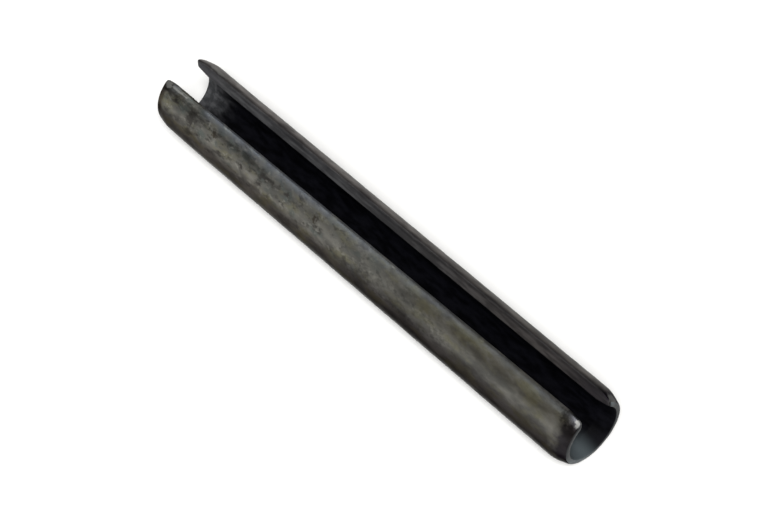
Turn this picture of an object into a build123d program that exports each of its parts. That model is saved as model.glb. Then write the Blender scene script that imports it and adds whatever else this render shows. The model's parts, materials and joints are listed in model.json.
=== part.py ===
"""Slotted spring pin, heavy duty, nominal 5 x 40 mm.

One strip of spring steel rolled to a C section. Both ends taper, and the bore flares
at both mouths.
The pin's axis is the X axis and the origin is on that axis at mid-length.
The slot opens upwards, along +Z. All sizes are in millimetres.
"""

import os
from math import hypot

from build123d import *

# --- Driving dimensions: the rolled section ------------------------------------------
length = 40.0  # overall, end face to end face
free_diameter = 5.6  # outside, relaxed; driving it into a 5 mm hole closes it up
wall = 1.0  # strip thickness

# --- Driving dimensions: the ends ----------------------------------------------------
taper_length = 1.0  # lead-in on each end, along the axis
tail_end_diameter = 5.2  # outside diameter where the taper reaches the -X end face
head_end_diameter = 4.9  # outside diameter where the taper reaches the +X end face
shoulder_radius = 1.2  # soft blend between the taper and the cylinder
mouth_diameter = 4.1  # bore's flared mouth, at each end face
mouth_length = 1.2  # depth of the flared mouth, along the axis
end_break = 0.12  # tumbled edges all round both end faces

# --- Driving dimensions: the slot ----------------------------------------------------
slot_width_tail = 2.48  # at the -X end
slot_width_head = 2.36  # at the +X end, rolled a little further closed
slot_drift = 0.19  # how far the slot runs sideways from tail to head, towards +Y
lip_radius = 0.16  # rounded outer edge of the two strip edges

# --- Worked-out sizes ----------------------------------------------------------------
half_length = length / 2
outer_radius = free_diameter / 2
bore_radius = outer_radius - wall
tail_end_radius = tail_end_diameter / 2
head_end_radius = head_end_diameter / 2
mouth_radius = mouth_diameter / 2
mid_wall_radius = (outer_radius + bore_radius) / 2


def slot_corner(x, side):
    """Plan point of the slot's edge at x, where side is +1 or -1 from its centre line."""
    way_along = (x + half_length) / length
    width = slot_width_tail + way_along * (slot_width_head - slot_width_tail)
    centre = slot_drift * (way_along - 0.5)
    return (x, centre + side * width / 2)


def is_lip_edge(edge):
    """True for an edge that runs along the pin near its outer surface, short of the ends."""
    middle = edge.position_at(0.5)
    near_outside = hypot(middle.Y, middle.Z) > mid_wall_radius
    return near_outside and abs(middle.X) < half_length - end_break


with BuildPart() as spring_pin:
    # The wall in half section, tapered outside and flared inside, spun about the pin's axis.
    with BuildSketch(Plane.XZ) as wall_section:
        with BuildLine() as wall_outline:
            Polyline(
                (-half_length + mouth_length, bore_radius),
                (-half_length, mouth_radius),
                (-half_length, tail_end_radius),
                (-half_length + taper_length, outer_radius),
                (half_length - taper_length, outer_radius),
                (half_length, head_end_radius),
                (half_length, mouth_radius),
                (half_length - mouth_length, bore_radius),
                close=True,
            )
        make_face()
        shoulders = wall_section.vertices().group_by(Axis.Y)[-1]
        fillet(shoulders, radius=shoulder_radius)
    revolve(axis=Axis.X)

    # The slot, cut through the upper wall from past one end to past the other.
    tail_side = -half_length - taper_length
    head_side = half_length + taper_length
    with BuildSketch(Plane.XY) as slot_plan:
        with BuildLine() as slot_outline:
            Polyline(
                slot_corner(tail_side, -1),
                slot_corner(head_side, -1),
                slot_corner(head_side, 1),
                slot_corner(tail_side, 1),
                close=True,
            )
        make_face()
    extrude(amount=free_diameter, mode=Mode.SUBTRACT)

    # The strip's edges were rounded before it was rolled, tapers included.
    strip_edge_faces = spring_pin.faces(Select.LAST)
    fillet(strip_edge_faces.edges().filter_by(is_lip_edge), radius=lip_radius)

    # Both end faces, with every edge broken: outer rim, strip edges and bore mouth.
    end_faces = spring_pin.faces().filter_by(Axis.X)
    fillet(end_faces.edges(), radius=end_break)

spring_pin.part.label = "spring_pin"
os.makedirs("parts", exist_ok=True)
export_step(spring_pin.part, "parts/spring_pin.step")
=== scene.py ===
"""Looks of a slotted spring pin: one strip of spring steel rolled to a C section.

The pin is modelled the way it is made. A flat blank is laid under the pin's axis, its ends
are filed to a lead-in, the edges of the slot are sheared and eased, and the blank is rolled
up. Then it is weathered and dressed in its phosphate coat, which also carries painted shade,
painted highlights and a painted reflection, and set in a plain studio.

The bench works in millimetres and the finished piece is brought down to metres.
"""

import json
import logging
from collections.abc import Callable
from dataclasses import dataclass
from enum import Enum, auto
from functools import cache
from math import asin, atan2, cos, hypot, pi, sin, tan

import bmesh
import bpy
from mathutils import Matrix, Vector

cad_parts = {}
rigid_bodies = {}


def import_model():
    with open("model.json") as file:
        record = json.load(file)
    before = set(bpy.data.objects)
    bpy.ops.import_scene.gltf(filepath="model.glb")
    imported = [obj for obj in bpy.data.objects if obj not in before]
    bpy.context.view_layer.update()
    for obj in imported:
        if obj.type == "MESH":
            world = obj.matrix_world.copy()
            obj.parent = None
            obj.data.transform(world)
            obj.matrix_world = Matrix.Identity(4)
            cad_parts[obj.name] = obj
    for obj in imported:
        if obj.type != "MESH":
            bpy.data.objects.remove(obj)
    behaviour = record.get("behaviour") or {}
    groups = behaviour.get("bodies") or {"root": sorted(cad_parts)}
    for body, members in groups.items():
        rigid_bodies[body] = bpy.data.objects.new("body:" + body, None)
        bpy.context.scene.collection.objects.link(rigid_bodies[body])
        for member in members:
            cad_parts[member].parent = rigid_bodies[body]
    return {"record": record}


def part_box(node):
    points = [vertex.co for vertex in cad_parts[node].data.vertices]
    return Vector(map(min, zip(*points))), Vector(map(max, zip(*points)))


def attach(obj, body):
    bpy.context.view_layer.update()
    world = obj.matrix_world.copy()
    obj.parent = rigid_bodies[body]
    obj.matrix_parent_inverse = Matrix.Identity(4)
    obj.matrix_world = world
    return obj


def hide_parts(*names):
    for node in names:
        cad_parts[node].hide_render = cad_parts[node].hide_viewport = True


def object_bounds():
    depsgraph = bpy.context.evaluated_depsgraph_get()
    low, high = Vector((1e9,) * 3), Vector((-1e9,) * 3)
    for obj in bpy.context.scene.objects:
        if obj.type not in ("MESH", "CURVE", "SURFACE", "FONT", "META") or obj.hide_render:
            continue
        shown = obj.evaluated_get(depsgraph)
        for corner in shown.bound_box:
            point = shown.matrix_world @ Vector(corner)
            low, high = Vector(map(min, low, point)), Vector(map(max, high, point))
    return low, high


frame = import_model()
CAD_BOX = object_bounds()

log = logging.getLogger("spring_pin")

BENCH = 1000.0  # bench millimetres in one metre
CAD_NODE = "spring_pin"
CAD_BODY = "root"
TAIL, HEAD = -1, 1  # the pin's two ends, along X
FRONT, BACK = -1, 1  # the two sides of the slot, along Y

HAIR = 0.01  # millimetres of slack in a test of place
SAME_STATION = 1e-3  # millimetres within which two corners of the blank are at one place along X
SAME_CORNER = 1e-4  # millimetres within which a corner is the one that is sought
SAME_POINT = 1e-5  # millimetres within which a cut keeps the corner that it meets
LYING = 0.75  # share of Z in the normal of a flat side of the blank or of a lead-in
LEVEL = 0.85  # share of Z in the normal of a flat side or of a gentle lead-in
SQUARE_ON = 0.7  # share of X in the normal of an end face, or of the inner part of its rim
UPRIGHT = 0.9  # share of Y in the normal of the strip's sheared edge

Place = tuple[float, float, float]
Colour = tuple[float, float, float]
Socket = bpy.types.NodeSocket
Amount = Socket | float
Paint = Socket | Colour
Element = bmesh.types.BMVert | bmesh.types.BMEdge | bmesh.types.BMFace


class Zone(Enum):
    """Which finish a face of the pin takes, by the number of its material slot."""

    SKIN = 0
    STRIP_EDGE = 1
    BORE = 2
    END_FACE = 3


class Pick(Enum):
    """What is picked in edit mode: Blender's select mode and its list in the mesh."""

    VERTICES = ("VERT", "verts")
    EDGES = ("EDGE", "edges")
    FACES = ("FACE", "faces")


# --- The pin's sizes ------------------------------------------------------------------


@dataclass(frozen=True)
class PinSizes:
    """Driving sizes of the pin, in millimetres, with its axis along X."""

    length: float
    outer_radius: float
    bore_radius: float
    taper_length: float = 1.0
    tail_radius: float = 2.6
    head_radius: float = 2.45
    shoulder_radius: float = 2.4
    mouth_radius: float = 2.05
    mouth_depth: float = 1.2
    slot_tail: float = 2.48
    slot_head: float = 2.36
    slot_drift: float = 0.19
    corner_round: float = 0.28  # of the strip's four corners, seen from above
    lip_ease: float = 0.235  # of the outer lips
    rim_break: float = 0.14  # of the end faces' outer rims
    inner_ease: float = 0.08  # of every edge towards the bore
    tail_rake: float = 0.042  # radians by which the tail's end leans in below
    rake_reach: float = 3.5  # how far from the end the lean dies out
    waviness: float = 0.04  # depth of the skin's unevenness
    wave_length: float = 1.1  # from one hollow of the skin to the next
    finer_waves: int = 2  # layers of smaller hollows on those

    @classmethod
    def from_frame(cls) -> "PinSizes":
        """Reads the outside from the CAD node's box and the bore from the record's mount.

        Returns:
            The sizes.
        """
        low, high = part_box(CAD_NODE)
        mounts = {mount["name"]: mount for mount in frame["record"]["mounts"]}
        return cls(
            length=(high[0] - low[0]) * BENCH,
            outer_radius=(high[1] - low[1]) / 2 * BENCH,
            bore_radius=mounts["bore"]["dims"]["r_mm"],
        )

    @property
    def wall(self) -> float:
        """Thickness of the strip."""
        return self.outer_radius - self.bore_radius

    @property
    def roll_radius(self) -> float:
        """Radius of the strip's middle layer, which keeps its length as it is rolled."""
        return (self.outer_radius + self.bore_radius) / 2

    @property
    def flare_angle(self) -> float:
        """Lean of the bore's flared mouths against the pin's axis."""
        return atan2(self.mouth_radius - self.bore_radius, self.mouth_depth)

    def lead_in_angle(self, end: int) -> float:
        """Lean of the taper at one end, TAIL or HEAD, against the pin's axis."""
        end_radius = self.tail_radius if end == TAIL else self.head_radius
        return atan2(self.outer_radius - end_radius, self.taper_length)

    def slot_wall(self, x: float, side: int) -> float:
        """Works out how far one wall of the slot stands from the pin's middle plane.

        Args:
            x: Place along the pin.
            side: FRONT or BACK of the slot.

        Returns:
            Distance from the plane Y = 0, always positive.
        """
        way_along = (x + self.length / 2) / self.length
        width = self.slot_tail + way_along * (self.slot_head - self.slot_tail)
        centre = self.slot_drift * (way_along - 0.5)
        return abs(centre + side * width / 2)

    def lip_angle(self, x: float, side: int, radius: float) -> float:
        """Works out where a layer of the strip ends at the slot.

        Args:
            x: Place along the pin.
            side: FRONT or BACK of the slot.
            radius: The layer's distance from the pin's axis.

        Returns:
            Angle about the axis, from the bottom of the pin up to the slot's wall.
        """
        return pi - asin(self.slot_wall(x, side) / radius)


# --- Bench tools ----------------------------------------------------------------------


def clear_bench() -> None:
    """Deselects every object, so that the next operator acts only on what it adds."""
    for thing in bpy.context.view_layer.objects:
        thing.select_set(False)
    bpy.context.view_layer.objects.active = None


def take_up(piece: bpy.types.Object) -> None:
    """Makes a piece the only one selected, and active.

    Args:
        piece: The piece to work on next.
    """
    clear_bench()
    piece.select_set(True)
    bpy.context.view_layer.objects.active = piece


def pick(piece: bpy.types.Object, kind: Pick, test: Callable[[Element], bool]) -> int:
    """Selects, in edit mode, just the elements of a mesh that pass a test.

    Args:
        piece: The object in edit mode.
        kind: Vertices, edges or faces.
        test: Says of one element whether it is wanted.

    Returns:
        How many elements are selected.
    """
    mode, elements = kind.value
    bpy.ops.mesh.select_mode(type=mode)
    bpy.ops.mesh.select_all(action="DESELECT")
    mesh = bmesh.from_edit_mesh(piece.data)
    wanted = [element for element in getattr(mesh, elements) if test(element)]
    for element in wanted:
        element.select_set(True)
    mesh.select_flush_mode()
    bmesh.update_edit_mesh(piece.data)
    return len(wanted)


def saw(place: Place, normal: Place, remove: bool = False) -> None:
    """Cuts the whole mesh along a plane.

    Args:
        place: A point of the plane.
        normal: The plane's normal, which points to the waste.
        remove: Whether the waste is cleared and the cut closed.
    """
    bpy.ops.mesh.select_all(action="SELECT")
    bpy.ops.mesh.bisect(
        plane_co=place,
        plane_no=normal,
        clear_outer=remove,
        use_fill=remove,
        threshold=SAME_POINT,
    )


def edge_run(edge: bmesh.types.BMEdge) -> Vector:
    """How far an edge goes along X, Y and Z, without sign."""
    return Vector([abs(step) for step in edge.verts[1].co - edge.verts[0].co])


def apply_modifier(piece: bpy.types.Object, kind: str, **settings: object) -> None:
    """Adds a modifier, sets it and applies it.

    Args:
        piece: The active object.
        kind: Blender's name for the modifier's type.
        settings: The modifier's own settings.
    """
    modifier = piece.modifiers.new(kind.lower(), kind)
    for setting, value in settings.items():
        setattr(modifier, setting, value)
    bpy.ops.object.modifier_apply(modifier=modifier.name)


# --- The pin --------------------------------------------------------------------------


@dataclass
class RolledPin:
    """The rolled pin: one closed mesh from a flat blank."""

    sizes: PinSizes
    shoulder_strokes: int = 5  # file strokes that round the shoulder of each lead-in
    corner_steps: int = 3  # facets that round each corner of the blank
    easing_steps: int = 4  # facets that ease each edge
    lip_margin: float = 0.15  # radians of strip beside each lip kept free of the grid
    columns: int = 101  # round the section, between the lips' margins
    rows: int = 101  # that the blank's full length is first divided into
    cell: float = 0.125  # length of one cell of the grid along the pin
    most_cells: int = 7  # that a first row is divided into
    tall_step: float = 0.14  # height past which a step of the strip's edge is halved
    rim_share: float = 0.3  # of the broken rims that is dressed as end face
    mouth_slack: float = 0.06  # past the mouths' radius that is dressed as bore
    tail_depth: float = 0.05  # of the tail's end that leans as one

    def build(self, materials: dict[Zone, bpy.types.Material]) -> bpy.types.Object:
        """Makes the pin from blank to weathered piece.

        Args:
            materials: One material for each zone.

        Returns:
            The finished mesh object, in metres.
        """
        blank = self.lay_blank()
        bpy.ops.object.mode_set(mode="EDIT")
        self.round_corners(blank)
        self.file_lead_ins()
        self.mark_out(blank)
        self.shear_strip_edges(blank)
        self.mark_edges_to_ease(blank)
        bpy.ops.object.mode_set(mode="OBJECT")
        self.ease_edges(blank)
        bpy.ops.object.mode_set(mode="EDIT")
        self.rule_grid(blank)
        bpy.ops.object.mode_set(mode="OBJECT")
        self.roll_up(blank)
        self.dress(blank, materials)
        self.rake_tail(blank)
        self.roughen(blank)
        self.bring_to_metres(blank)
        return blank

    @property
    def blank_width(self) -> float:
        """Width of the flat blank before its edges are sheared to their own lines."""
        return 2 * self.sizes.roll_radius * self.sizes.lip_angle(0, FRONT, self.sizes.roll_radius)

    def lay_blank(self) -> bpy.types.Object:
        """Lays the flat blank under the axis, with its outer face down.

        Returns:
            The blank, active and selected.
        """
        size = self.sizes
        clear_bench()
        bpy.ops.mesh.primitive_cube_add(
            size=1,
            location=(0, 0, -size.roll_radius),
            scale=(size.length, self.blank_width, size.wall),
        )
        bpy.ops.object.transform_apply(location=True, rotation=True, scale=True)
        blank = bpy.context.object
        blank.name = blank.data.name = "rolled_pin"
        return blank

    def round_corners(self, blank: bpy.types.Object) -> None:
        """Rounds the blank's four corners, as seen from above."""
        pick(blank, Pick.EDGES, lambda edge: edge_run(edge).z > self.sizes.wall / 2)
        bpy.ops.mesh.bevel(
            affect="EDGES", offset=self.sizes.corner_round, segments=self.corner_steps
        )

    def file_lead_ins(self) -> None:
        """Files both ends: outside in strokes that lean more each time, then the mouth."""
        size = self.sizes
        arc_centre = size.outer_radius - size.shoulder_radius
        for end in (TAIL, HEAD):
            lead_in = size.lead_in_angle(end)
            arc_run = size.shoulder_radius * tan(lead_in / 2)
            arc_start = size.length / 2 - size.taper_length - arc_run
            for stroke in range(1, self.shoulder_strokes + 1):
                lean = lead_in * stroke / self.shoulder_strokes
                touch_x = end * (arc_start + size.shoulder_radius * sin(lean))
                touch_radius = arc_centre + size.shoulder_radius * cos(lean)
                saw((touch_x, 0, -touch_radius), (end * sin(lean), 0, -cos(lean)), remove=True)
            mouth_x = end * (size.length / 2 - size.mouth_depth)
            flare = size.flare_angle
            saw((mouth_x, 0, -size.bore_radius), (end * sin(flare), 0, cos(flare)), remove=True)

    def mark_out(self, blank: bpy.types.Object) -> None:
        """Scribes lines round the blank: where its ends bend, half way up and beside the lips.

        Args:
            blank: The blank, in edit mode.
        """
        mesh = bmesh.from_edit_mesh(blank.data)
        stations = {round(corner.co.x, 3): corner.co.x for corner in mesh.verts}
        corners_start = self.sizes.length / 2 - self.sizes.corner_round
        for station in sorted(stations.values()):
            if abs(station) < corners_start + HAIR:
                saw((station, 0, 0), (1, 0, 0))
        saw((0, 0, -self.sizes.roll_radius), (0, 0, 1))
        margin_line = self.blank_width / 2 - self.lip_margin * self.sizes.roll_radius
        for side in (FRONT, BACK):
            saw((0, side * margin_line, 0), (0, 1, 0))
        bpy.ops.mesh.select_all(action="SELECT")
        bpy.ops.mesh.remove_doubles(threshold=SAME_STATION)

    def shear_strip_edges(self, blank: bpy.types.Object) -> None:
        """Moves each scribed corner to where the rolled strip meets the slot's wall.

        The line scribed half way up the strip's edge stays half way up where the ends thin.

        Args:
            blank: The blank, in edit mode.
        """
        size = self.sizes
        mesh = bmesh.from_edit_mesh(blank.data)
        corners = [corner.co.copy() for corner in mesh.verts]
        for corner in corners:
            heights = [other.z for other in corners if abs(other.x - corner.x) < SAME_STATION]
            low, high = min(heights), max(heights)
            between_faces = low + HAIR < corner.z < high - HAIR
            height = (low + high) / 2 if between_faces else corner.z
            side = BACK if corner.y > 0 else FRONT
            edge_line = size.roll_radius * size.lip_angle(corner.x, side, -height)
            pick(blank, Pick.VERTICES, lambda vertex: (vertex.co - corner).length < SAME_CORNER)
            sideways = side * (edge_line - self.blank_width / 2)
            bpy.ops.transform.translate(value=(0, sideways, height - corner.z))

    def easing(self, edge: bmesh.types.BMEdge) -> float:
        """Works out how much of an edge of the sheared blank is rounded off.

        Args:
            edge: Any edge of the blank.

        Returns:
            The rounding's size: zero within a face, and along the outer lips less near the ends.
        """
        size = self.sizes
        looks = sorted(face.normal.z for face in edge.link_faces)
        if all(abs(look) > LYING for look in looks):
            return 0
        if looks[-1] > LEVEL:
            return size.inner_ease
        if looks[0] < -LEVEL:
            x = abs(edge.verts[0].co.x + edge.verts[1].co.x) / 2
            from_end = min((size.length / 2 - x) / size.taper_length, 1)
            return size.rim_break + from_end * (size.lip_ease - size.rim_break)
        return 0

    def easing_weight(self, edge: bmesh.types.BMEdge) -> float:
        """An edge's rounding as a share of the lips' own, in whole hundredths."""
        return round(self.easing(edge) / self.sizes.lip_ease, 2)

    def mark_edges_to_ease(self, blank: bpy.types.Object) -> None:
        """Weighs each edge of the blank by its rounding.

        Args:
            blank: The blank, in edit mode.
        """
        mesh = bmesh.from_edit_mesh(blank.data)
        weights = {self.easing_weight(edge) for edge in mesh.edges}
        for weight in sorted(weights - {0}):
            pick(blank, Pick.EDGES, lambda edge: self.easing_weight(edge) == weight)
            bpy.ops.transform.edge_bevelweight(value=weight)

    def ease_edges(self, blank: bpy.types.Object) -> None:
        """Rounds all edges of the strip by their weights."""
        take_up(blank)
        apply_modifier(
            blank,
            "BEVEL",
            width=self.sizes.lip_ease,
            segments=self.easing_steps,
            limit_method="WEIGHT",
            use_clamp_overlap=False,
        )

    def rule_grid(self, blank: bpy.types.Object) -> None:
        """Divides the long faces into a fine grid, so that they roll up smooth.

        Args:
            blank: The blank, in edit mode.
        """
        pick(blank, Pick.EDGES, lambda edge: edge_run(edge).y > self.sizes.outer_radius)
        bpy.ops.mesh.subdivide(number_cuts=self.columns - 1)
        pick(blank, Pick.EDGES, lambda edge: edge_run(edge).x > self.sizes.length / 2)
        bpy.ops.mesh.subdivide(number_cuts=self.rows - 1)
        for cells in range(self.most_cells, 1, -1):
            shortest = self.cell * (cells - 0.5)
            pick(blank, Pick.EDGES, lambda edge: edge_run(edge).x > shortest)
            bpy.ops.mesh.subdivide(number_cuts=cells - 1)
        pick(
            blank,
            Pick.EDGES,
            lambda edge: edge_run(edge).z > self.tall_step and edge_run(edge).x < HAIR,
        )
        bpy.ops.mesh.subdivide(number_cuts=1)

    def roll_up(self, blank: bpy.types.Object) -> None:
        """Rolls the blank round the pin's axis, its middle layer keeping its length.

        Args:
            blank: The blank.
        """
        size = self.sizes
        bpy.ops.object.empty_add(location=(0, 0, -size.roll_radius), rotation=(pi / 2, 0, 0))
        mandrel = bpy.context.object
        take_up(blank)
        sideways = [vertex.co.y for vertex in blank.data.vertices]
        apply_modifier(
            blank,
            "SIMPLE_DEFORM",
            deform_method="BEND",
            deform_axis="X",
            origin=mandrel,
            angle=(max(sideways) - min(sideways)) / size.roll_radius,
        )
        bpy.data.objects.remove(mandrel)

    def zone_of(self, face: bmesh.types.BMFace) -> Zone:
        """Says which finish a face takes, by its place and the way it looks.

        Args:
            face: A face of the rolled pin.

        Returns:
            The zone.
        """
        size = self.sizes
        x, y, z = face.calc_center_median()
        look = face.normal
        at_end = abs(x) > size.length / 2 - self.rim_share * size.rim_break
        if at_end and abs(look.x) > SQUARE_ON:
            return Zone.END_FACE
        if z > size.bore_radius / 2 and abs(look.y) > UPRIGHT and look.y * y < 0:
            return Zone.STRIP_EDGE
        toward_axis = look.y * y + look.z * z < 0
        if toward_axis and hypot(y, z) < size.mouth_radius + self.mouth_slack:
            return Zone.BORE
        return Zone.SKIN

    def dress(self, piece: bpy.types.Object, materials: dict[Zone, bpy.types.Material]) -> None:
        """Gives each zone of the pin its finish.

        Args:
            piece: The rolled pin, still in millimetres.
            materials: One material for each zone.
        """
        for zone in Zone:
            piece.data.materials.append(materials[zone])
        take_up(piece)
        bpy.ops.object.mode_set(mode="EDIT")
        for zone in Zone:
            count = pick(piece, Pick.FACES, lambda face: self.zone_of(face) is zone)
            piece.active_material_index = zone.value
            bpy.ops.object.material_slot_assign()
            log.info("zone %s: %d faces", zone.name, count)
        bpy.ops.object.mode_set(mode="OBJECT")

    def rake_tail(self, piece: bpy.types.Object) -> None:
        """Leans the tail's end, so that it stands back a little at the bottom of the pin.

        Args:
            piece: The rolled pin.
        """
        size = self.sizes
        tail_face = -size.length / 2
        bpy.ops.object.mode_set(mode="EDIT")
        pick(piece, Pick.VERTICES, lambda vertex: vertex.co.x < tail_face + self.tail_depth)
        bpy.ops.transform.rotate(
            value=size.tail_rake,
            orient_axis="Y",
            center_override=(tail_face, 0, size.mouth_radius),
            use_proportional_edit=True,
            proportional_edit_falloff="SMOOTH",
            proportional_size=size.rake_reach,
        )
        bpy.ops.object.mode_set(mode="OBJECT")

    def roughen(self, piece: bpy.types.Object) -> None:
        """Presses the whole surface in a little, unevenly, so that it is nowhere quite true.

        Args:
            piece: The rolled pin.
        """
        texture = bpy.data.textures.new("unevenness", "CLOUDS")
        texture.noise_basis = "IMPROVED_PERLIN"
        texture.noise_scale = self.sizes.wave_length
        texture.noise_depth = self.sizes.finer_waves
        apply_modifier(
            piece, "DISPLACE", texture=texture, strength=self.sizes.waviness, mid_level=1.0
        )
        bpy.data.textures.remove(texture)

    def bring_to_metres(self, piece: bpy.types.Object) -> None:
        """Brings the bench's millimetres down to metres, and shades the piece smooth.

        Args:
            piece: The rolled pin.
        """
        piece.scale = (1 / BENCH,) * 3
        bpy.ops.object.transform_apply(location=False, rotation=False, scale=True)
        bpy.ops.object.shade_smooth()


# --- What finishes are made of --------------------------------------------------------


@dataclass(frozen=True)
class Noise:
    """A pattern of soft grains, each so many millimetres long along X, Y and Z."""

    grain: Place
    detail: float = 3  # how many finer layers lie on the first one
    roughness: float = 0.55  # how strong those layers are
    seed: float = 0  # picks another pattern of the same kind


class Way(Enum):
    """A way across the pin, in millimetres."""

    LENGTH = auto()  # X, from tail to head
    WIDTH = auto()  # Y, from front to back
    HEIGHT = auto()  # Z, above the axis
    FROM_TAIL = auto()  # from the tail's end face
    FROM_HEAD = auto()  # from the head's end face
    FROM_FRONT_WALL = auto()  # from the slot's front wall outwards
    FROM_BACK_WALL = auto()  # from the slot's back wall outwards


@dataclass(frozen=True)
class Fade:
    """A smooth change from low to high as what is gauged goes from start to end."""

    gauge: Way | Noise
    start: float
    end: float
    low: float = 0.0
    high: float = 1.0
    ragged: Noise | None = None  # shifts the place of the change
    shift: float = 0.0  # the most that it shifts, in the gauge's own measure


class Lay(Enum):
    """How a layer meets what lies under it: it covers it, or multiplies its colour."""

    COVER = "MIX"
    TINT = "MULTIPLY"


@dataclass(frozen=True)
class Layer:
    """One layer of a finish, as strong at a place as the product of its fades there."""

    name: str
    colour: Colour
    fades: tuple[Fade, ...]
    lay: Lay


def cover(name: str, colour: Colour, *fades: Fade) -> Layer:
    """A layer that hides what lies under it."""
    return Layer(name, colour, fades, Lay.COVER)


def tint(name: str, colour: Colour, *fades: Fade) -> Layer:
    """A layer that multiplies the colour of what lies under it."""
    return Layer(name, colour, fades, Lay.TINT)


@dataclass(frozen=True)
class Relief:
    """A noise that stands out of the surface."""

    pattern: Noise
    strength: float
    depth: float  # millimetres


@dataclass(frozen=True)
class Mark:
    """One soft spot at a place on the pin, in millimetres."""

    centre: Place
    reach: Place  # how far it goes along X, Y and Z
    strength: float  # of its colour in the middle


@dataclass(frozen=True)
class Marks:
    """Spots of one kind, with uneven rims."""

    colour: Colour
    rim: Noise
    wander: float  # of the rims, as a share of a spot's reach
    spots: tuple[Mark, ...]


MIX_FACTOR, MIX_UNDER, MIX_OVER = 0, 6, 7  # a Mix node's inputs for colours, by number
MIX_RESULT = 2  # and its output
NOISE_SPAN = (0.3, 0.7)  # nearly all of a noise lies between these
SPOT_EDGE = (1.15, 0.55)  # shares of a spot's reach: where it begins and where it is full


class Graph:
    """A material's node tree, wired by short calls."""

    def __init__(self, name: str) -> None:
        """Starts a material that holds only its shader and its output.

        Args:
            name: The material's name.
        """
        self.material = bpy.data.materials.new(name)
        self.material.use_nodes = True
        self.nodes = self.material.node_tree.nodes
        self.nodes.clear()
        self.shader = self.nodes.new("ShaderNodeBsdfPrincipled")
        output = self.nodes.new("ShaderNodeOutputMaterial")
        self.put(output.inputs["Surface"], self.shader.outputs["BSDF"])
        self.place = self.add("ShaderNodeTexCoord").outputs["Object"]

    def put(self, target: Socket, value: object) -> None:
        """Links a socket, or sets a plain value, on an input.

        Args:
            target: The input.
            value: A socket to link, a colour or a number.
        """
        if isinstance(value, Socket):
            self.material.node_tree.links.new(value, target)
        elif isinstance(value, tuple) and target.type == "RGBA":
            target.default_value = (*value, 1.0)
        else:
            target.default_value = value

    def add(
        self, kind: str, inputs: dict[str | int, object] | None = None, **settings: object
    ) -> bpy.types.Node:
        """Adds a node.

        Args:
            kind: Blender's name for the node's type.
            inputs: Values or sockets for its inputs, by name or number.
            settings: The node's own settings.

        Returns:
            The node.
        """
        node = self.nodes.new(kind)
        for setting, value in settings.items():
            setattr(node, setting, value)
        for key, value in (inputs or {}).items():
            self.put(node.inputs[key], value)
        return node

    def finished(self, surface: dict[str, object]) -> bpy.types.Material:
        """Sets or wires the shader's own inputs.

        Args:
            surface: Colours, numbers or sockets by the inputs' names.

        Returns:
            The finished material.
        """
        for name, value in surface.items():
            self.put(self.shader.inputs[name], value)
        return self.material

    @cache
    def stretched(self, scale: Place) -> Socket:
        """The piece's own coordinates times a scale, from metres."""
        mapping = self.add("ShaderNodeMapping", {"Vector": self.place, "Scale": scale})
        return mapping.outputs["Vector"]

    @cache
    def noise(self, noise: Noise) -> Socket:
        """Wires one noise.

        Args:
            noise: Its grain and kind.

        Returns:
            The noise, from 0 to 1 and mostly near 0.5.
        """
        inputs = {
            "Vector": self.stretched(tuple(BENCH / length for length in noise.grain)),
            "W": noise.seed,
            "Scale": 1.0,
            "Detail": noise.detail,
            "Roughness": noise.roughness,
        }
        return self.add("ShaderNodeTexNoise", inputs, noise_dimensions="4D").outputs["Fac"]

    def maths(self, operation: str, first: Amount, second: Amount) -> Socket:
        """One Math node."""
        inputs = {0: first, 1: second}
        return self.add("ShaderNodeMath", inputs, operation=operation).outputs["Value"]

    def times(self, *factors: Amount) -> Amount:
        """Multiplies any number of factors.

        Args:
            factors: One or more sockets and numbers.

        Returns:
            Their product.
        """
        product, *others = factors
        for factor in others:
            product = self.maths("MULTIPLY", product, factor)
        return product

    def between(
        self, value: Socket, start: float, end: float, low: float = 0.0, high: float = 1.0
    ) -> Socket:
        """Goes smoothly from low to high as a value goes from start to end.

        Args:
            value: What the change follows.
            start: Where it begins.
            end: Where it is complete.
            low: The result at the start and before it.
            high: The result at the end and past it.

        Returns:
            The result.
        """
        inputs = {"Value": value, "From Min": start, "From Max": end, "To Min": low, "To Max": high}
        node = self.add("ShaderNodeMapRange", inputs, interpolation_type="SMOOTHSTEP")
        return node.outputs["Result"]

    def uneven(self, noise: Noise, most: float) -> Socket:
        """A noise that swings smoothly by so much either way."""
        return self.between(self.noise(noise), *NOISE_SPAN, -most, most)

    def blend(self, share: Amount, under: Paint, over: Paint, lay: Lay = Lay.COVER) -> Socket:
        """Lays one colour over another.

        Args:
            share: How strongly, from 0 to 1.
            under: The colour below.
            over: The colour on top.
            lay: Whether it covers or tints.

        Returns:
            The mixed colour.
        """
        inputs = {MIX_FACTOR: share, MIX_UNDER: under, MIX_OVER: over}
        node = self.add("ShaderNodeMix", inputs, data_type="RGBA", blend_type=lay.value)
        return node.outputs[MIX_RESULT]

    def bump(self, relief: Relief) -> Socket:
        """Wires a relief.

        Args:
            relief: Its pattern, strength and depth.

        Returns:
            The normal that it gives the surface.
        """
        inputs = {
            "Height": self.noise(relief.pattern),
            "Strength": relief.strength,
            "Distance": relief.depth / BENCH,
        }
        return self.add("ShaderNodeBump", inputs).outputs["Normal"]


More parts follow.
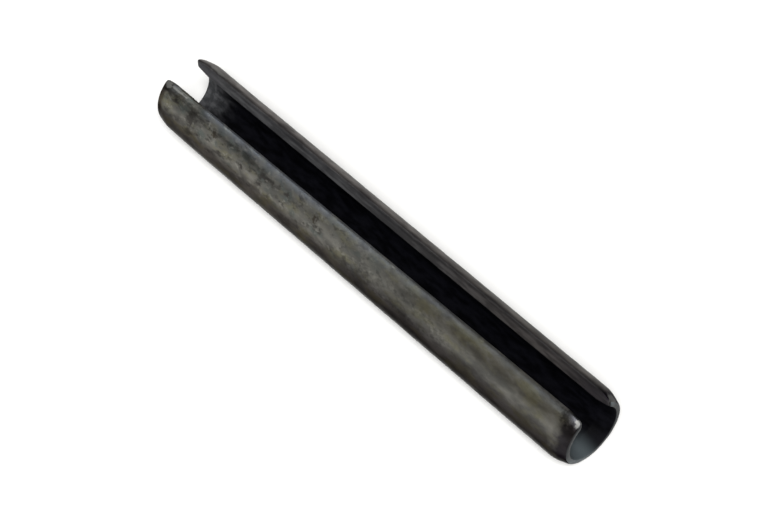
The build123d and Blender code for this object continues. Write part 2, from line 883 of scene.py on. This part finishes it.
class PinGraph(Graph):
    """The node tree of one of the pin's finishes, which knows the ways across the pin."""

    def __init__(self, name: str, sizes: PinSizes) -> None:
        """Starts the material and splits the piece's own coordinates into millimetres.

        Args:
            name: The material's name.
            sizes: The pin's sizes.
        """
        super().__init__(name)
        self.sizes = sizes
        split = self.add("ShaderNodeSeparateXYZ", {"Vector": self.stretched((BENCH,) * 3)})
        self.x, self.y, self.z = (split.outputs[axis] for axis in "XYZ")

    def slot_line(self, side: int) -> Socket:
        """Wires the line of one of the slot's walls, straight from tail to head.

        Args:
            side: FRONT or BACK of the slot.

        Returns:
            Y of the wall.
        """
        end = self.sizes.length / 2
        inputs = {
            "Value": self.x,
            "From Min": -end,
            "From Max": end,
            "To Min": side * self.sizes.slot_wall(-end, side),
            "To Max": side * self.sizes.slot_wall(end, side),
        }
        return self.add("ShaderNodeMapRange", inputs).outputs["Result"]

    @cache
    def way(self, way: Way) -> Socket:
        """Wires one way across the pin.

        Args:
            way: Which way.

        Returns:
            Millimetres along it.
        """
        match way:
            case Way.LENGTH:
                return self.x
            case Way.WIDTH:
                return self.y
            case Way.HEIGHT:
                return self.z
            case Way.FROM_TAIL:
                return self.maths("ADD", self.x, self.sizes.length / 2)
            case Way.FROM_HEAD:
                return self.maths("SUBTRACT", self.sizes.length / 2, self.x)
            case Way.FROM_FRONT_WALL:
                return self.maths("SUBTRACT", self.slot_line(FRONT), self.y)
            case Way.FROM_BACK_WALL:
                return self.maths("SUBTRACT", self.y, self.slot_line(BACK))

    @cache
    def fade(self, fade: Fade) -> Socket:
        """Wires one fade.

        Args:
            fade: What it follows, and from where to where.

        Returns:
            Its level, between its low and its high.
        """
        gauge = fade.gauge
        gauged = self.noise(gauge) if isinstance(gauge, Noise) else self.way(gauge)
        if fade.ragged:
            gauged = self.maths("ADD", gauged, self.uneven(fade.ragged, fade.shift))
        return self.between(gauged, fade.start, fade.end, fade.low, fade.high)

    def layered(self, colour: Paint, layers: tuple[Layer, ...]) -> Paint:
        """Lays a finish's layers, in order, over a colour.

        Args:
            colour: The colour below.
            layers: The layers, lowest first.

        Returns:
            The colour with its layers.
        """
        for layer in layers:
            share = self.times(*(self.fade(fade) for fade in layer.fades))
            colour = self.blend(share, colour, layer.colour, layer.lay)
            colour.node.label = layer.name
        return colour

    def spot(self, mark: Mark, wander: Socket) -> Socket:
        """Wires one soft spot.

        Args:
            mark: Its place and reach.
            wander: Noise that makes its rim uneven, as a share of the reach.

        Returns:
            1 in the middle of the spot and 0 outside it.
        """
        vector = self.stretched(tuple(BENCH / length for length in mark.reach))
        middle = tuple(place / length for place, length in zip(mark.centre, mark.reach))
        away = self.add("ShaderNodeVectorMath", {0: vector, 1: middle}, operation="DISTANCE")
        return self.between(self.maths("ADD", away.outputs["Value"], wander), *SPOT_EDGE)

    @cache
    def spots(self, marks: Marks) -> tuple[Socket, ...]:
        """The spots of one kind, one by one, before their strengths."""
        wander = self.uneven(marks.rim, marks.wander)
        return tuple(self.spot(mark, wander) for mark in marks.spots)

    def marked(self, colour: Socket, marks: Marks) -> Socket:
        """Lays spots of one kind over a colour.

        Args:
            colour: The colour below.
            marks: The spots.

        Returns:
            The colour with its spots.
        """
        for mark, spot in zip(marks.spots, self.spots(marks)):
            colour = self.blend(self.times(spot, mark.strength), colour, marks.colour)
        return colour

    def within(self, marks: Marks) -> Socket:
        """Gauges how far a place lies within any spot of one kind.

        Args:
            marks: The spots.

        Returns:
            1 in the middle of a spot and 0 outside them all.
        """
        within, *others = self.spots(marks)
        for spot in others:
            within = self.maths("MAXIMUM", within, spot)
        return within


# --- The pin's finishes ---------------------------------------------------------------


@dataclass(frozen=True)
class Coat:
    """One finish of the pin: layers over a ground colour, and how they gleam."""

    sizes: PinSizes
    name: str
    ground: Colour
    layers: tuple[Layer, ...]
    roughness: Fade
    mirroring: float  # the shader's specular level

    def colour(self, graph: PinGraph) -> Paint:
        """The ground colour with its layers."""
        return graph.layered(self.ground, self.layers)

    def surface(self, graph: PinGraph) -> dict[str, object]:
        """Wires what the shader's inputs take.

        Args:
            graph: The finish's node tree.

        Returns:
            Colours, numbers or sockets by the inputs' names.
        """
        return {
            "Base Color": self.colour(graph),
            "Specular IOR Level": self.mirroring,
            "Roughness": graph.fade(self.roughness),
        }

    def material(self) -> bpy.types.Material:
        """Makes the finish's material."""
        graph = PinGraph(self.name, self.sizes)
        return graph.finished(self.surface(graph))


# Where a layer lies: in front or at the back, or just on the lip there.
ON_FRONT = Fade(Way.WIDTH, 0.5, -0.5)
ON_FRONT_LIP = (Fade(Way.WIDTH, 0.0, -0.5), Fade(Way.HEIGHT, 1.7, 1.9))
ON_BACK = Fade(Way.WIDTH, 0.5, 1.5)
ON_BACK_LIP = (Fade(Way.WIDTH, 0.3, 0.8), Fade(Way.HEIGHT, 1.4, 1.8))

# How crisp the coat's mottle is: most at the tail, high up and in front.
CRISP = (
    Fade(Way.LENGTH, -8.0, 12.0, 1.0, 0.2),
    Fade(Way.HEIGHT, 0.2, 1.3, 0.45, 1.0),
    Fade(Way.WIDTH, 0.4, 1.2, 1.0, 0.4),
)

MOTTLE = Noise((0.8, 0.5, 0.5), detail=4, roughness=0.56)
RAGGED = Noise((1.0, 0.5, 0.5), seed=5)
CREEP = Noise((0.6, 0.6, 0.6), seed=15)
PATCHY = Noise((1.1, 0.5, 0.5), seed=17)
SPOT_RIM = Noise((0.35, 0.25, 0.25), seed=19)

# Where fingers rub the front lip bluish, but for its two ends.
BLUISH = (0.125, 0.132, 0.148)
RUBBED = (
    Fade(Way.FROM_FRONT_WALL, 0.70, 0.25, ragged=PATCHY, shift=0.15),
    *ON_FRONT_LIP,
    Fade(Way.LENGTH, -10.0, 16.0, 1.0, 0.4),
    Fade(PATCHY, 0.35, 0.6, low=0.35),
)


@dataclass(frozen=True)
class PhosphateSkin(Coat):
    """Oiled phosphate coat on the outside of the pin: blotched, mottled and stained, with painted
    shade and light.
    """

    name: str = "phosphate_skin"
    ground: Colour = (0.098, 0.096, 0.088)
    layers: tuple[Layer, ...] = (
        cover("pale blotches", (0.172, 0.167, 0.149), Fade(Noise((2.4, 1.0, 1.0)), 0.36, 0.64)),
        cover(
            "olive blotches",
            (0.150, 0.144, 0.104),
            Fade(Noise((1.9, 0.9, 0.9), seed=11), 0.46, 0.66),
            ON_FRONT,
        ),
        cover(
            "verdigris",
            (0.100, 0.110, 0.102),
            Fade(Noise((1.4, 0.8, 0.8), seed=7), 0.50, 0.68),
            ON_FRONT,
            *CRISP,
        ),
        cover("soot patches", (0.052, 0.049, 0.045), Fade(MOTTLE, 0.50, 0.66, high=0.95), *CRISP),
        cover(
            "worn flecks",
            (0.235, 0.230, 0.205),
            Fade(Noise((0.50, 0.36, 0.36), seed=3), 0.54, 0.70, high=0.75),
            *CRISP,
        ),
    )
    specks: Marks = Marks(
        colour=(0.040, 0.032, 0.022),
        rim=Noise((0.3, 0.3, 0.3), detail=2, seed=9),
        wander=0.5,
        spots=(
            Mark((-14.0, -2.19, 1.74), (0.26, 0.26, 0.26), 0.75),
            Mark((-3.8, -2.20, 1.73), (0.26, 0.26, 0.26), 0.75),
        ),
    )
    stains_and_painted_light: tuple[Layer, ...] = (
        # Painted shade: the coat is darker low down, and darker still low down towards the head.
        tint(
            "oil drained to the underside",
            (0.43, 0.405, 0.415),
            Fade(Way.HEIGHT, 1.45, 0.3, ragged=RAGGED, shift=0.2),
            Fade(Way.FROM_HEAD, 0.6, 1.5, low=0.4),
        ),
        tint(
            "oil puddled there towards the head",
            (0.58, 0.58, 0.61),
            Fade(Way.HEIGHT, 1.5, 0.7),
            Fade(Way.LENGTH, -7.0, 4.0),
            Fade(Way.FROM_HEAD, 0.6, 1.5),
        ),
        tint(
            "smudges beside the front lip",
            (0.50, 0.49, 0.48),
            Fade(Noise((1.4, 0.5, 0.5), detail=4, seed=13), 0.42, 0.58),
            Fade(Way.WIDTH, -2.35, -2.0),
            Fade(Way.WIDTH, -1.1, -1.5),
            Fade(Way.HEIGHT, 1.0, 1.6),
            Fade(Way.LENGTH, -4.0, -12.0),
        ),
        tint(
            "grime beside that lip's head end",
            (0.58, 0.55, 0.50),
            Fade(Way.LENGTH, -1.0, 10.0),
            Fade(Way.WIDTH, -2.45, -2.0),
            ON_FRONT,
            Fade(RAGGED, 0.3, 0.6, low=0.5),
        ),
        # Painted shade and painted light: the back side is slightly darker and cooler, and much
        # lighter towards the tail.
        tint("rested back", (0.98, 0.95, 1.00), ON_BACK),
        tint("aired back", (1.50, 1.50, 1.52), ON_BACK, Fade(Way.LENGTH, 15.0, -10.0)),
        tint(
            "scorched head",
            (0.18, 0.17, 0.21),
            Fade(Way.FROM_HEAD, 1.45, 0.58, ragged=CREEP, shift=-0.15),
        ),
        tint(
            "browned tail rim",
            (0.48, 0.44, 0.42),
            Fade(Way.FROM_TAIL, 0.8, 0.3, ragged=CREEP, shift=-0.15),
            Fade(Way.HEIGHT, 2.3, 1.8),
        ),
        cover("rubbed lip", BLUISH, *RUBBED, Fade(Way.LENGTH, -16.2, -15.2)),
        cover(
            "rubbed prong",
            BLUISH,
            *RUBBED,
            Fade(Way.LENGTH, -18.1, -18.5),
            Fade(Way.LENGTH, -19.3, -18.9),
        ),
        # Painted highlight: the rounding of the front lip is made lighter.
        tint(
            "gleaming front arris",
            (1.75, 1.75, 1.80),
            Fade(Way.FROM_FRONT_WALL, 0.22, 0.04, ragged=PATCHY, shift=0.15),
            *ON_FRONT_LIP,
        ),
        # Painted shade: the back lip and its arris are darker where their rounding would catch the
        # lamps.
        tint(
            "dulled back lip",
            (0.75, 0.74, 0.75),
            Fade(Way.FROM_BACK_WALL, 0.50, 0.25),
            *ON_BACK_LIP,
        ),
        tint(
            "blunted back arris",
            (0.50, 0.50, 0.51),
            Fade(Way.FROM_BACK_WALL, 0.19, 0.08),
            *ON_BACK_LIP,
        ),
    )
    # Dark smears, and one spot of painted shade that dims the highlight at the head's front lip.
    smears_and_painted_shade: Marks = Marks(
        colour=(0.0, 0.0, 0.0),
        rim=SPOT_RIM,
        wander=0.35,
        spots=(
            Mark((5.0, -2.53, 1.12), (4.5, 0.65, 0.65), 0.32),
            Mark((-17.3, -2.05, 1.90), (1.5, 0.35, 0.35), 0.32),
            Mark((-18.7, -1.97, 1.98), (1.0, 0.22, 0.25), 0.38),
            Mark((-10.8, -2.00, 1.95), (1.3, 0.45, 0.45), 0.25),
            # painted shade over the highlight at the head's front lip corner
            Mark((19.3, -1.44, 2.28), (0.8, 0.6, 0.6), 0.64),
        ),
    )
    # Bright spots: bare metal worn through, together with painted highlights and a painted glint at
    # the lip corners and on the head's back chamfer.
    bare_and_painted_glints: Marks = Marks(
        colour=(0.42, 0.42, 0.40),
        rim=SPOT_RIM,
        wander=0.35,
        spots=(
            # painted highlight streak along the tail's front lip
            Mark((-18.5, -1.66, 2.24), (1.0, 0.09, 0.11), 0.45),
            Mark((-19.5, -1.62, 2.15), (0.40, 0.28, 0.35), 0.34),
            Mark((-17.9, 1.50, 2.36), (1.1, 0.20, 0.24), 0.40),
            # painted highlight on the head's back chamfer
            Mark((19.80, 1.75, 1.90), (0.5, 0.45, 0.5), 0.30),
            # painted glint at the head's front lip corner
            Mark((19.90, -1.15, 1.85), (0.42, 0.42, 0.55), 0.27),
        ),
    )
    roughness: Fade = Fade(MOTTLE, 0.35, 0.65, 0.28, 0.38)
    # The bright spots, painted glints among them, get this roughness too.
    scratched: float = 0.22  # roughness added where the metal is bare
    mirroring: float = 0.5
    glancing: Colour = (0.4, 0.4, 0.4)  # what is left of the gleam at glancing angles
    tooth: Relief = Relief(Noise((0.09, 0.07, 0.07)), strength=0.2, depth=0.02)

    def colour(self, graph: PinGraph) -> Paint:
        """Lays the coat's layers, its stains with its painted shade and light, and its marks.

        Args:
            graph: The coat's node tree.

        Returns:
            The finished colour.
        """
        colour = graph.marked(graph.layered(self.ground, self.layers), self.specks)
        colour = graph.marked(graph.layered(colour, self.stains_and_painted_light), self.smears_and_painted_shade)
        return graph.marked(colour, self.bare_and_painted_glints)

    def surface(self, graph: PinGraph) -> dict[str, object]:
        """Makes the coat metallic, toothed, and rougher in its bright spots of bare metal and
        painted glint.

        Args:
            graph: The coat's node tree.

        Returns:
            Colours, numbers or sockets by the inputs' names.
        """
        surface = super().surface(graph)
        scratches = graph.times(graph.within(self.bare_and_painted_glints), self.scratched)
        return surface | {
            "Metallic": 1.0,
            "Specular Tint": self.glancing,
            "Roughness": graph.maths("ADD", surface["Roughness"], scratches),
            "Normal": graph.bump(self.tooth),
        }


STREAKS = Noise((3.0, 0.2, 0.2))


@dataclass(frozen=True)
class ShearedEdge(Coat):
    """Coated strip edge, with the shear's marks along it."""

    name: str = "sheared_edge"
    ground: Colour = (0.042, 0.042, 0.044)
    pale: Colour = (0.080, 0.080, 0.083)
    mottle: Noise = Noise((1.6, 0.5, 0.5))
    streakiness: float = 0.25  # share of the streaks in the tone, beside the mottle
    tones: tuple[float, float] = (0.42, 0.58)  # where the tone is darkest and palest
    layers: tuple[Layer, ...] = (
        tint("browned towards the head", (0.88, 0.80, 0.74), Fade(Way.LENGTH, -8.0, 14.0)),
        tint("shaded near the outer lip", (0.55, 0.55, 0.55), Fade(Way.HEIGHT, 1.9, 2.2)),
        tint("sooted tail", (0.36, 0.35, 0.40), Fade(Way.FROM_TAIL, 3.4, 1.4)),
        tint("sooted head", (0.36, 0.35, 0.40), Fade(Way.FROM_HEAD, 5.5, 1.5)),
    )
    roughness: Fade = Fade(STREAKS, *NOISE_SPAN, 0.5, 0.65)
    mirroring: float = 0.25
    tears: Relief = Relief(STREAKS, strength=0.3, depth=0.03)

    def colour(self, graph: PinGraph) -> Paint:
        """Mixes streaks and mottle to one tone, and lays the stains over it.

        Args:
            graph: The edge's node tree.

        Returns:
            The finished colour.
        """
        streaks = graph.times(graph.noise(STREAKS), self.streakiness)
        mottle = graph.times(graph.noise(self.mottle), 1 - self.streakiness)
        tone = graph.between(graph.maths("ADD", streaks, mottle), *self.tones)
        return graph.layered(graph.blend(tone, self.ground, self.pale), self.layers)

    def surface(self, graph: PinGraph) -> dict[str, object]:
        """Adds the shear's fine tears to the surface."""
        return super().surface(graph) | {"Normal": graph.bump(self.tears)}


SCALE = Noise((1.2, 0.4, 0.4), detail=4)
SCUFFS = Noise((0.45, 0.4, 0.4), detail=4, seed=2)


@dataclass(frozen=True)
class BoreCoat(Coat):
    """Dull coat inside the pin, painted nearly black as shade, and paler in both mouths."""

    name: str = "bore_coat"
    # Painted shade: deep in the bore the coat is made far darker than the same coat outside.
    ground: Colour = (0.0007, 0.0007, 0.0011)
    layers: tuple[Layer, ...] = (
        cover("pale scale", (0.0028, 0.0028, 0.0042), Fade(SCALE, 0.35, 0.65)),
    )
    # The tail's mouth is painted less dark than deeper in, as painted shade that eases towards the
    # opening.
    tail_mouth_shade: Colour = (0.027, 0.028, 0.030)
    tail_scuffs: tuple[Layer, ...] = (
        cover("scuffs", (0.056, 0.057, 0.060), Fade(SCUFFS, 0.40, 0.62)),
    )
    tail_mouth: Fade = Fade(Way.FROM_TAIL, 4.0, 0.9, ragged=SCALE, shift=-0.5)
    # Painted reflection: the lower front of the head's mouth is made paler teal, as if lit.
    head_mouth_reflection: tuple[Layer, ...] = (
        cover(
            "scuffed head mouth",
            (0.055, 0.066, 0.071),
            Fade(Way.FROM_HEAD, 2.4, 1.0, ragged=SCUFFS, shift=-0.2),
            Fade(Way.WIDTH, 0.9, -0.6),
        ),
    )
    roughness: Fade = Fade(SCALE, *NOISE_SPAN, 0.45, 0.6)
    mirroring: float = 0.03

    def colour(self, graph: PinGraph) -> Paint:
        """Lays the coat, painted darkest deep inside, the tail's scuffed mouth and the head's
        painted reflection.

        Args:
            graph: The coat's node tree.

        Returns:
            The finished colour.
        """
        scuffed = graph.layered(self.tail_mouth_shade, self.tail_scuffs)
        mouth = graph.fade(self.tail_mouth)
        colour = graph.blend(graph.times(mouth, mouth), super().colour(graph), scuffed)
        return graph.layered(colour, self.head_mouth_reflection)


GRINDING = Noise((1.0, 0.25, 0.25), detail=4)


@dataclass(frozen=True)
class EndFace(Coat):
    """Ground and coated end face."""

    name: str = "end_face"
    ground: Colour = (0.040, 0.047, 0.050)
    layers: tuple[Layer, ...] = (
        cover("grinding marks", (0.066, 0.078, 0.083), Fade(GRINDING, 0.35, 0.65)),
        # Painted shade: the upper back of the end face is made much darker.
        tint(
            "sooted back half",
            (0.2, 0.2, 0.2),
            Fade(Way.WIDTH, -0.6, 0.9),
            Fade(Way.HEIGHT, 1.9, 1.2),
        ),
        tint(
            "dimmed front half",
            (0.14, 0.14, 0.15),
            Fade(Way.WIDTH, 0.0, -0.8),
            Fade(Way.HEIGHT, -1.6, -0.2),
        ),
    )
    roughness: Fade = Fade(GRINDING, *NOISE_SPAN, 0.4, 0.5)
    mirroring: float = 0.15


# --- Studio ---------------------------------------------------------------------------


@dataclass(frozen=True)
class Viewpoint:
    """The camera: where it looks from and how long its lens is, in millimetres."""

    azimuth: float = 0.8189  # radians from -Y towards +X
    elevation: float = 0.8808  # radians above the floor
    distance: float = 154.2  # from the target
    target: Place = (1.112, 0.142, 0.0)
    roll: float = 0.0093  # radians
    lens: float = 107.65
    sensor: float = 36.0
    nearest: float = 1.0  # that the camera still sees

    def set_up(self) -> None:
        """Adds the camera and makes it the scene's."""
        level = cos(self.elevation)
        back = Vector(
            (sin(self.azimuth) * level, -cos(self.azimuth) * level, sin(self.elevation))
        )
        data = bpy.data.cameras.new("camera")
        data.lens = self.lens
        data.sensor_width = self.sensor
        data.clip_start = self.nearest / BENCH
        camera = bpy.data.objects.new("camera", data)
        bpy.context.scene.collection.objects.link(camera)
        stand = Matrix.Translation((Vector(self.target) + back * self.distance) / BENCH)
        aim = (-back).to_track_quat("-Z", "Y").to_matrix().to_4x4()
        camera.matrix_world = stand @ aim @ Matrix.Rotation(self.roll, 4, "Z")
        bpy.context.scene.camera = camera
        log.info("camera: %.0f mm from the pin", self.distance)


@dataclass(frozen=True)
class Softbox:
    """A large soft lamp that looks at the pin. Its sizes are in metres and watts."""

    name: str
    place: Place
    width: float
    height: float
    power: float
    colour: Colour = (1.0, 1.0, 1.0)

    def hang(self) -> None:
        """Adds the lamp."""
        data = bpy.data.lights.new(self.name, "AREA")
        data.shape = "RECTANGLE"
        data.size, data.size_y = self.width, self.height
        data.energy = self.power
        data.color = self.colour
        lamp = bpy.data.objects.new(self.name, data)
        lamp.location = self.place
        lamp.rotation_euler = (-Vector(self.place)).to_track_quat("-Z", "Y").to_euler()
        bpy.context.scene.collection.objects.link(lamp)
        log.info("lamp %s: %.2f W", self.name, self.power)


@dataclass(frozen=True)
class FloorPaint:
    """Matt off-white paint with broad, faint clouds."""

    name: str = "floor"
    pale: Colour = (0.86, 0.855, 0.84)
    shade: float = 0.985  # share of the pale colour in the clouds
    clouds: Noise = Noise((40.0, 40.0, 40.0), detail=2)
    roughness: float = 0.9
    mirroring: float = 0.2

    def material(self) -> bpy.types.Material:
        """Wires the paint.

        Returns:
            The material.
        """
        graph = Graph(self.name)
        clouds = graph.between(graph.noise(self.clouds), *NOISE_SPAN)
        shaded = tuple(self.shade * channel for channel in self.pale)
        return graph.finished({
            "Base Color": graph.blend(clouds, shaded, self.pale),
            "Roughness": self.roughness,
            "Specular IOR Level": self.mirroring,
        })


@dataclass(frozen=True)
class Studio:
    """A pale floor, soft lamps and an even room."""

    floor_size: float = 3.0  # metres
    room_colour: Colour = (1.0, 1.0, 1.0)
    room_strength: float = 0.3
    lamps: tuple[Softbox, ...] = (
        Softbox("key", (0.45, -0.42, 0.79), width=0.45, height=0.45, power=14.5),
        Softbox("front_screen", (-0.40, -0.70, 0.42), width=1.3, height=0.9, power=1.2),
        Softbox("low_strip", (-0.54, -1.07, 0.13), width=1.2, height=0.18, power=0.18),
        Softbox(
            "window",
            (-0.36, -0.41, 0.60),
            width=0.5,
            height=0.18,
            power=0.35,
            colour=(0.85, 0.94, 1.0),
        ),
    )

    def set_up(self) -> None:
        """Lays the floor, hangs the lamps and lights the room."""
        self.lay_floor()
        for lamp in self.lamps:
            lamp.hang()
        world = bpy.data.worlds.new("room")
        world.use_nodes = True
        background = world.node_tree.nodes["Background"]
        background.inputs["Color"].default_value = (*self.room_colour, 1.0)
        background.inputs["Strength"].default_value = self.room_strength
        bpy.context.scene.world = world
        bpy.context.scene.view_settings.view_transform = "Standard"

    def lay_floor(self) -> None:
        """Lays the floor just under the pin."""
        clear_bench()
        lowest = CAD_BOX[0][2]
        bpy.ops.mesh.primitive_plane_add(size=self.floor_size, location=(0, 0, lowest))
        bpy.ops.object.transform_apply(location=True, rotation=True, scale=True)
        floor = bpy.context.object
        floor.name = "floor"
        floor.data.materials.append(FloorPaint().material())


# --- The scene ------------------------------------------------------------------------


def main() -> None:
    """Builds the pin, dresses it and sets up the studio."""
    logging.basicConfig(level=logging.INFO, format="%(name)s: %(message)s")
    sizes = PinSizes.from_frame()
    finishes = {
        Zone.SKIN: PhosphateSkin(sizes),
        Zone.STRIP_EDGE: ShearedEdge(sizes),
        Zone.BORE: BoreCoat(sizes),
        Zone.END_FACE: EndFace(sizes),
    }
    materials = {zone: finish.material() for zone, finish in finishes.items()}
    piece = RolledPin(sizes).build(materials)
    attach(piece, CAD_BODY)
    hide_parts(CAD_NODE)
    log.info("%s: %d faces", piece.name, len(piece.data.polygons))
    Viewpoint().set_up()
    Studio().set_up()


if __name__ == "__main__":
    main()
